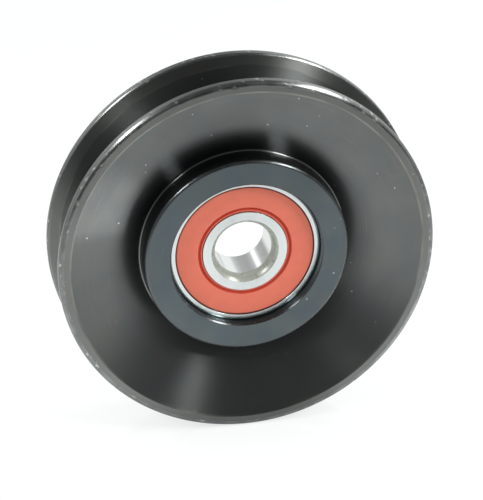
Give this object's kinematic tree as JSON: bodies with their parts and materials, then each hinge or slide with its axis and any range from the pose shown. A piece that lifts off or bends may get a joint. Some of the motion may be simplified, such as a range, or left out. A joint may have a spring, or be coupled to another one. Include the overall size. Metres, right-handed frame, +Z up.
{
  "type": "belt tensioner idler pulley",
  "caption": "Black V-belt idler pulley for a belt tensioner, with a dished wheel, a stepped hub and a pressed-in sealed ball bearing.",
  "frame": {"origin": "centre of the bearing, on the axis; the middle of the wheel lies 0.3 mm behind it", "axes": "+Y along the axis towards the rear of the wheel, the open bearing seat faces -Y, +Z up"},
  "size_m": [0.079, 0.0172, 0.079],
  "materials": {
    "black_coat": "semi-gloss black coat over turned steel",
    "bearing_steel": "fine ground bearing steel",
    "polished_balls": "polished chrome steel",
    "pressed_steel": "pressed mild steel",
    "seal_rubber": "matt red nitrile rubber"
  },
  "bodies": {
    "mount_ring": {"inner_ring": "bearing_steel"},
    "pulley": {"pulley_wheel": "black_coat", "outer_ring": "bearing_steel", "seal_front": "seal_rubber", "seal_rear": "seal_rubber", "seal_core_front": "pressed_steel", "seal_core_rear": "pressed_steel"},
    "cage": {"cage_front": "pressed_steel", "cage_rear": "pressed_steel", "rivet_1": "pressed_steel", "rivet_2": "pressed_steel", "rivet_3": "pressed_steel", "rivet_4": "pressed_steel", "rivet_5": "pressed_steel", "rivet_6": "pressed_steel", "rivet_7": "pressed_steel"},
    "ball_1_body": {"ball_1": "polished_balls"},
    "ball_2_body": {"ball_2": "polished_balls"},
    "ball_3_body": {"ball_3": "polished_balls"},
    "ball_4_body": {"ball_4": "polished_balls"},
    "ball_5_body": {"ball_5": "polished_balls"},
    "ball_6_body": {"ball_6": "polished_balls"},
    "ball_7_body": {"ball_7": "polished_balls"}
  },
  "joints": [
    {"name": "pulley_spin", "type": "hinge", "parent": "mount_ring", "child": "pulley", "pos_m": [0, 0, 0], "axis": [0, 1, 0], "continuous": true},
    {"name": "cage_spin", "type": "hinge", "parent": "mount_ring", "child": "cage", "pos_m": [0, 0, 0], "axis": [0, 1, 0], "continuous": true},
    {"name": "ball_1_spin", "type": "hinge", "parent": "cage", "child": "ball_1_body", "pos_m": [0, 0, 0.011], "axis": [0, 1, 0], "continuous": true},
    {"name": "ball_2_spin", "type": "hinge", "parent": "cage", "child": "ball_2_body", "pos_m": [0.0086, 0, 0.00686], "axis": [0, 1, 0], "continuous": true},
    {"name": "ball_3_spin", "type": "hinge", "parent": "cage", "child": "ball_3_body", "pos_m": [0.01072, 0, -0.00245], "axis": [0, 1, 0], "continuous": true},
    {"name": "ball_4_spin", "type": "hinge", "parent": "cage", "child": "ball_4_body", "pos_m": [0.00477, 0, -0.00991], "axis": [0, 1, 0], "continuous": true},
    {"name": "ball_5_spin", "type": "hinge", "parent": "cage", "child": "ball_5_body", "pos_m": [-0.00477, 0, -0.00991], "axis": [0, 1, 0], "continuous": true},
    {"name": "ball_6_spin", "type": "hinge", "parent": "cage", "child": "ball_6_body", "pos_m": [-0.01072, 0, -0.00245], "axis": [0, 1, 0], "continuous": true},
    {"name": "ball_7_spin", "type": "hinge", "parent": "cage", "child": "ball_7_body", "pos_m": [-0.0086, 0, 0.00686], "axis": [0, 1, 0], "continuous": true}
  ],
  "couplings": [
    {"joint": "cage_spin", "follows": "pulley_spin", "ratio": 0.6353},
    {"joint": "ball_1_spin", "follows": "pulley_spin", "ratio": 1.7125},
    {"joint": "ball_2_spin", "follows": "pulley_spin", "ratio": 1.7125},
    {"joint": "ball_3_spin", "follows": "pulley_spin", "ratio": 1.7125},
    {"joint": "ball_4_spin", "follows": "pulley_spin", "ratio": 1.7125},
    {"joint": "ball_5_spin", "follows": "pulley_spin", "ratio": 1.7125},
    {"joint": "ball_6_spin", "follows": "pulley_spin", "ratio": 1.7125},
    {"joint": "ball_7_spin", "follows": "pulley_spin", "ratio": 1.7125}
  ]
}
